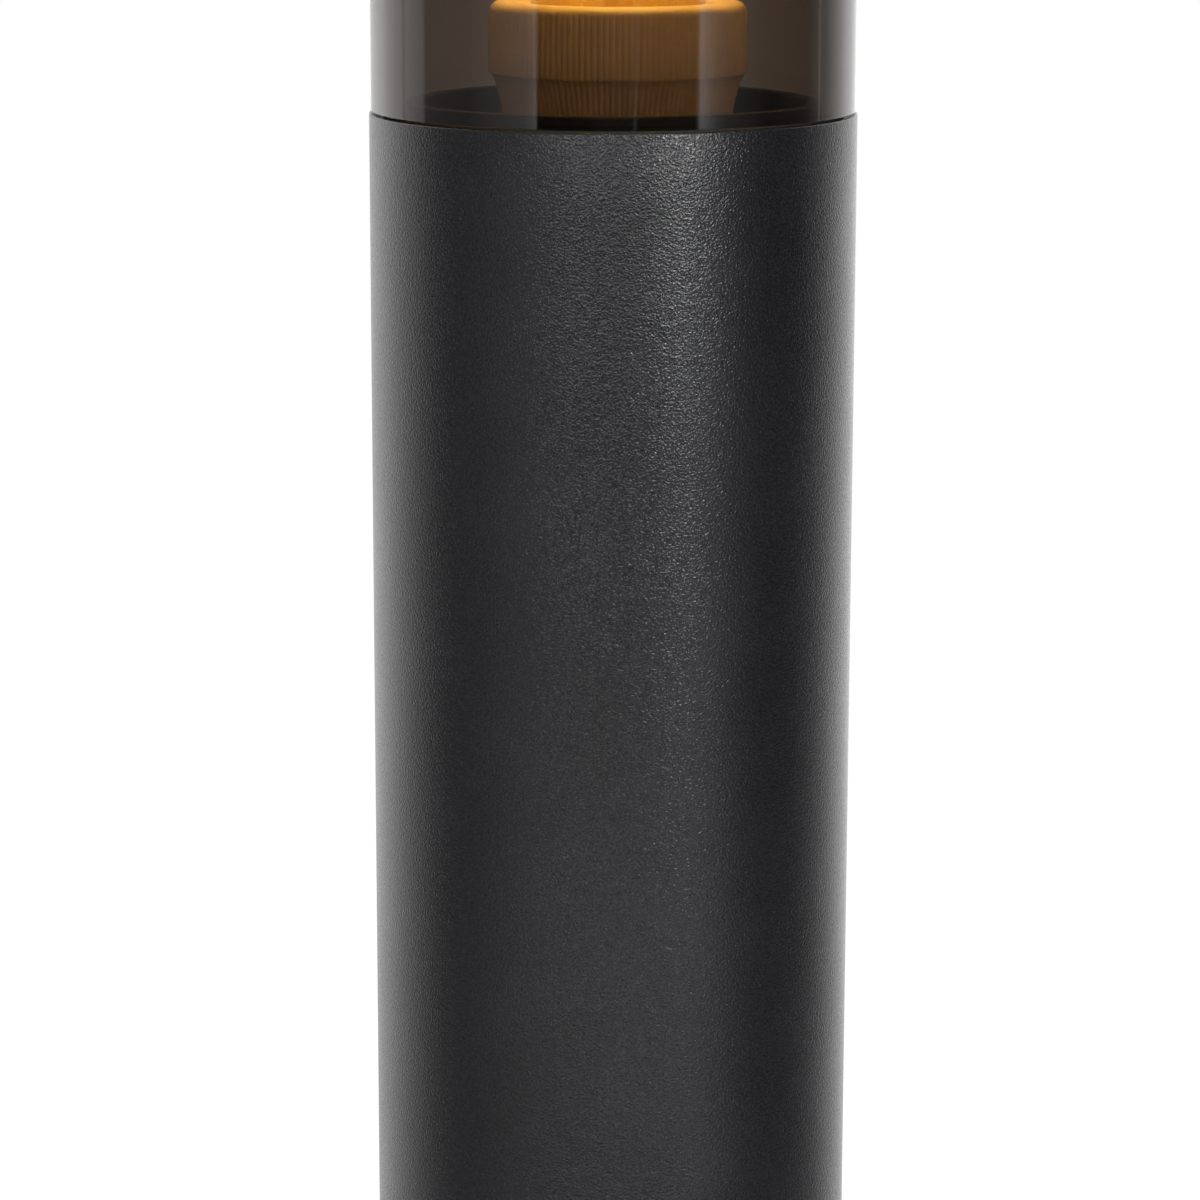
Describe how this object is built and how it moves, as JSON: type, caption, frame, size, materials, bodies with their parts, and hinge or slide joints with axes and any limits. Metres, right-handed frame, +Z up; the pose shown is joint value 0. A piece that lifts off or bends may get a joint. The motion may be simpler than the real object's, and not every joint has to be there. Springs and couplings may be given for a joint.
{
  "type": "garden post light",
  "caption": "Round black garden post light with a smoke-tinted tube head, a porcelain lampholder, a warm filament bulb and a hidden mounting foot.",
  "frame": {"origin": "centre of the underside of the mounting foot, on the ground", "axes": "+Z up along the post's axis, front towards -Y, +X to the right seen from the front"},
  "size_m": [0.09, 0.09, 0.4998],
  "materials": {
    "powder_coat": "fine-textured black powder coat on aluminium",
    "cast_aluminium": "die-cast aluminium, black coated",
    "black_anodised": "turned aluminium, satin black anodised",
    "smoke_acrylic": "smoke-tinted clear cast acrylic, polished",
    "porcelain": "unglazed pressed porcelain with fine ribs",
    "bulb_glass": "clear blown glass",
    "nickel": "nickel-plated sheet metal",
    "brass": "turned brass",
    "zinc_steel": "zinc-plated steel",
    "black_steel": "black-painted bent steel strip",
    "black_screws": "black-coated steel",
    "rubber": "moulded black rubber",
    "block_plastic": "natural moulded polyamide",
    "brown_silicone": "brown silicone insulation",
    "blue_silicone": "blue silicone insulation",
    "green_silicone": "green and yellow silicone insulation",
    "filament": "lit filament coating",
    "black_glass": "black glass insulator"
  },
  "bodies": {
    "root": {"post_tube": "powder_coat", "foot_casting": "cast_aluminium", "foot_o_ring": "rubber", "foot_screws": "black_screws", "cable_grommet": "rubber", "terminal_block": "block_plastic", "terminal_sleeves": "brass", "terminal_screws": "zinc_steel", "block_screws": "zinc_steel", "earth_screw": "zinc_steel", "earth_washer": "zinc_steel", "earth_lug": "nickel", "lead_live": "brown_silicone", "lead_neutral": "blue_silicone", "lead_earth": "green_silicone", "post_insert": "black_anodised", "lock_screw": "black_screws", "head_ring": "black_anodised", "diffuser_seal": "rubber", "diffuser": "smoke_acrylic", "cap_seal": "rubber", "cap_ring": "black_anodised", "cap_screws": "zinc_steel", "cap": "powder_coat", "lampholder_bracket": "black_steel", "bracket_screws": "black_screws", "holder_screws": "zinc_steel", "lampholder_shell": "porcelain", "screw_shell": "nickel", "centre_contact": "brass", "bulb_glass": "bulb_glass", "bulb_stem": "bulb_glass", "filaments": "filament", "filament_wires": "nickel", "bulb_cap": "nickel", "bulb_insulator": "black_glass", "bulb_contact": "nickel"}
  },
  "joints": []
}
